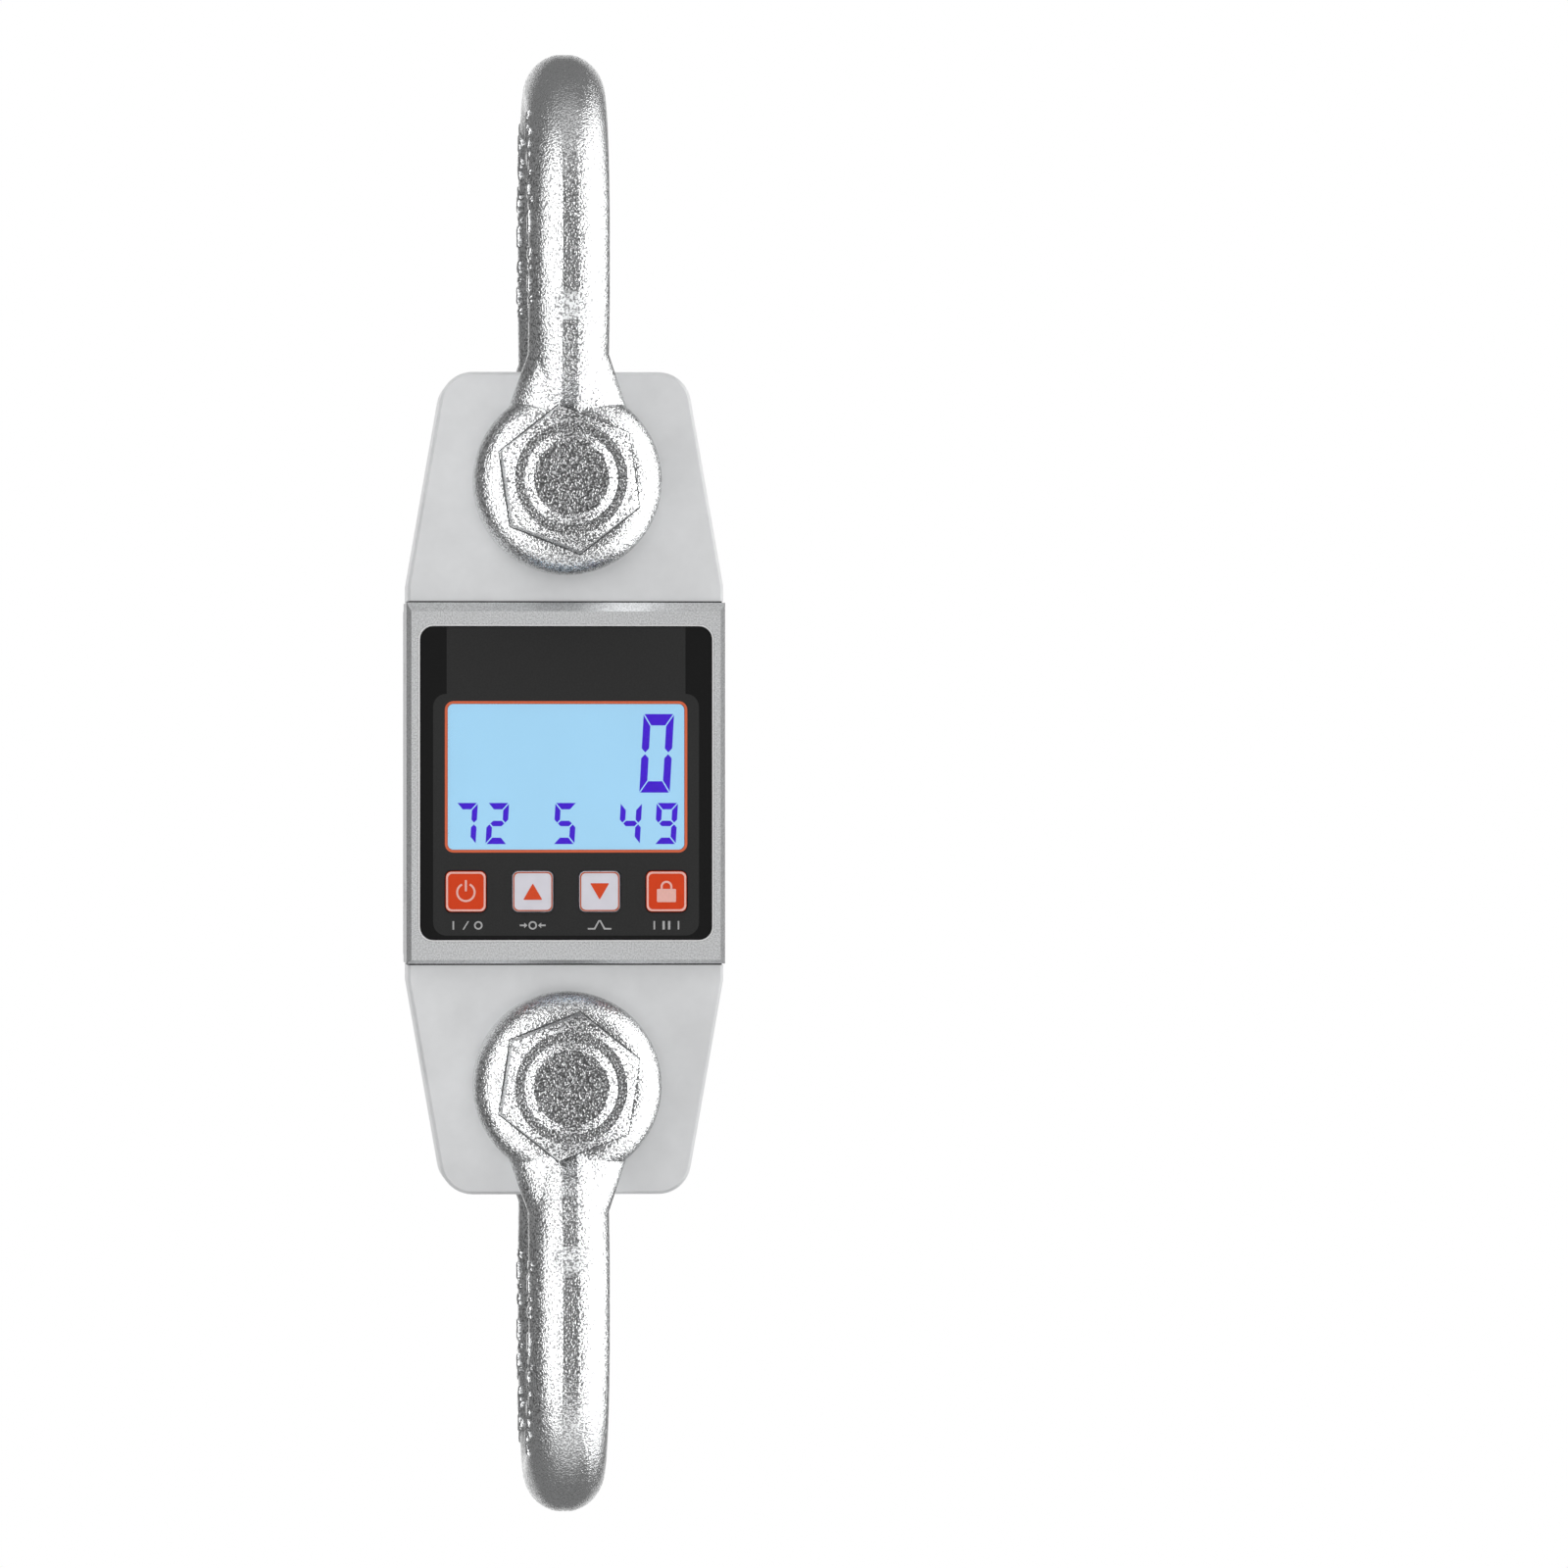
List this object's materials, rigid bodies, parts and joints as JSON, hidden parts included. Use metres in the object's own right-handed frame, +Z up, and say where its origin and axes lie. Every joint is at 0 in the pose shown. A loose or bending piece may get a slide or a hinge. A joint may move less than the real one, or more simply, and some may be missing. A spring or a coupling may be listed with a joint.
{
  "type": "hanging electronic scale",
  "caption": "Hanging electronic scale: flat load-cell plate with a lit display and keys in a metal housing, and a bow shackle bolted through each end.",
  "frame": {"origin": "hook seat: the lowest point of the inner face of the upper bow's crown, in the middle of the bow", "axes": "+Z up along the line of pull, through both pins; -Y to the front, where the display and keys face; +X to the reader's right"},
  "size_m": [0.0868, 0.1272, 0.3986],
  "materials": {
    "plate_metal": "smooth satin, fine machining grain",
    "housing_metal": "bead-blasted, silver anodised",
    "galvanised_steel": "galvanised forging, coarse bright grain",
    "pin_steel": "galvanised, grainy",
    "panel_film": "printed film, satin black",
    "window_clear": "clear, glossy",
    "display_blue": "lit liquid crystal, pale blue",
    "backlight_white": "diffusing sheet",
    "key_orange": "satin, printed",
    "key_white": "satin, printed",
    "board_green": "solder mask",
    "component_black": "moulded epoxy",
    "screw_steel": "stainless",
    "seal_rubber": "matt silicone",
    "gauge_foil": "foil under amber film",
    "wire_red": "PVC sleeve",
    "tray_black": "moulded",
    "cell_wrap": "shrink wrap",
    "contact_nickel": "nickel plate"
  },
  "bodies": {
    "upper_shackle": {"upper_bow": "galvanised_steel"},
    "upper_pin_set": {"upper_bolt": "pin_steel", "upper_nut": "pin_steel", "upper_split_pin": "screw_steel"},
    "scale": {"load_cell_body": "plate_metal", "front_housing": "housing_metal", "rear_cover": "housing_metal", "front_gasket": "seal_rubber", "rear_gasket": "seal_rubber", "overlay_panel": "panel_film", "display_window": "window_clear", "display_glass": "display_blue", "display_backlight": "backlight_white", "key_switches": "component_black", "main_board": "board_green", "board_components": "component_black", "board_screws": "screw_steel", "strain_gauges": "gauge_foil", "gauge_leads": "wire_red", "supply_wires": "wire_red", "battery_tray": "tray_black", "battery_cells": "cell_wrap", "battery_contacts": "contact_nickel", "battery_door": "housing_metal", "door_gasket": "seal_rubber", "door_screws": "screw_steel", "side_screws": "screw_steel", "cover_screws": "screw_steel"},
    "lower_shackle": {"lower_bow": "galvanised_steel"},
    "lower_pin_set": {"lower_bolt": "pin_steel", "lower_nut": "pin_steel", "lower_split_pin": "screw_steel"},
    "key_power_cap": {"key_power": "key_orange"},
    "key_up_cap": {"key_up": "key_white"},
    "key_down_cap": {"key_down": "key_white"},
    "key_lock_cap": {"key_lock": "key_orange"}
  },
  "joints": [
    {"name": "upper_swing", "type": "hinge", "parent": "upper_shackle", "child": "scale", "pos_m": [0, 0, -0.0955], "axis": [0, 1, 0], "range_deg": [-125, 125]},
    {"name": "upper_bolt_turn", "type": "hinge", "parent": "upper_shackle", "child": "upper_pin_set", "pos_m": [0, 0, -0.0955], "axis": [0, 1, 0], "continuous": true},
    {"name": "lower_swing", "type": "hinge", "parent": "scale", "child": "lower_shackle", "pos_m": [0, 0, -0.2595], "axis": [0, 1, 0], "range_deg": [-125, 125]},
    {"name": "lower_bolt_turn", "type": "hinge", "parent": "lower_shackle", "child": "lower_pin_set", "pos_m": [0, 0, -0.2595], "axis": [0, 1, 0], "continuous": true},
    {"name": "key_power_press", "type": "slide", "parent": "scale", "child": "key_power_cap", "axis": [0, 1, 0], "range_m": [0, 0.0005], "stiffness_N_per_m": 2000, "springref_m": -0.0003},
    {"name": "key_up_press", "type": "slide", "parent": "scale", "child": "key_up_cap", "axis": [0, 1, 0], "range_m": [0, 0.0005], "stiffness_N_per_m": 2000, "springref_m": -0.0003},
    {"name": "key_down_press", "type": "slide", "parent": "scale", "child": "key_down_cap", "axis": [0, 1, 0], "range_m": [0, 0.0005], "stiffness_N_per_m": 2000, "springref_m": -0.0003},
    {"name": "key_lock_press", "type": "slide", "parent": "scale", "child": "key_lock_cap", "axis": [0, 1, 0], "range_m": [0, 0.0005], "stiffness_N_per_m": 2000, "springref_m": -0.0003}
  ]
}
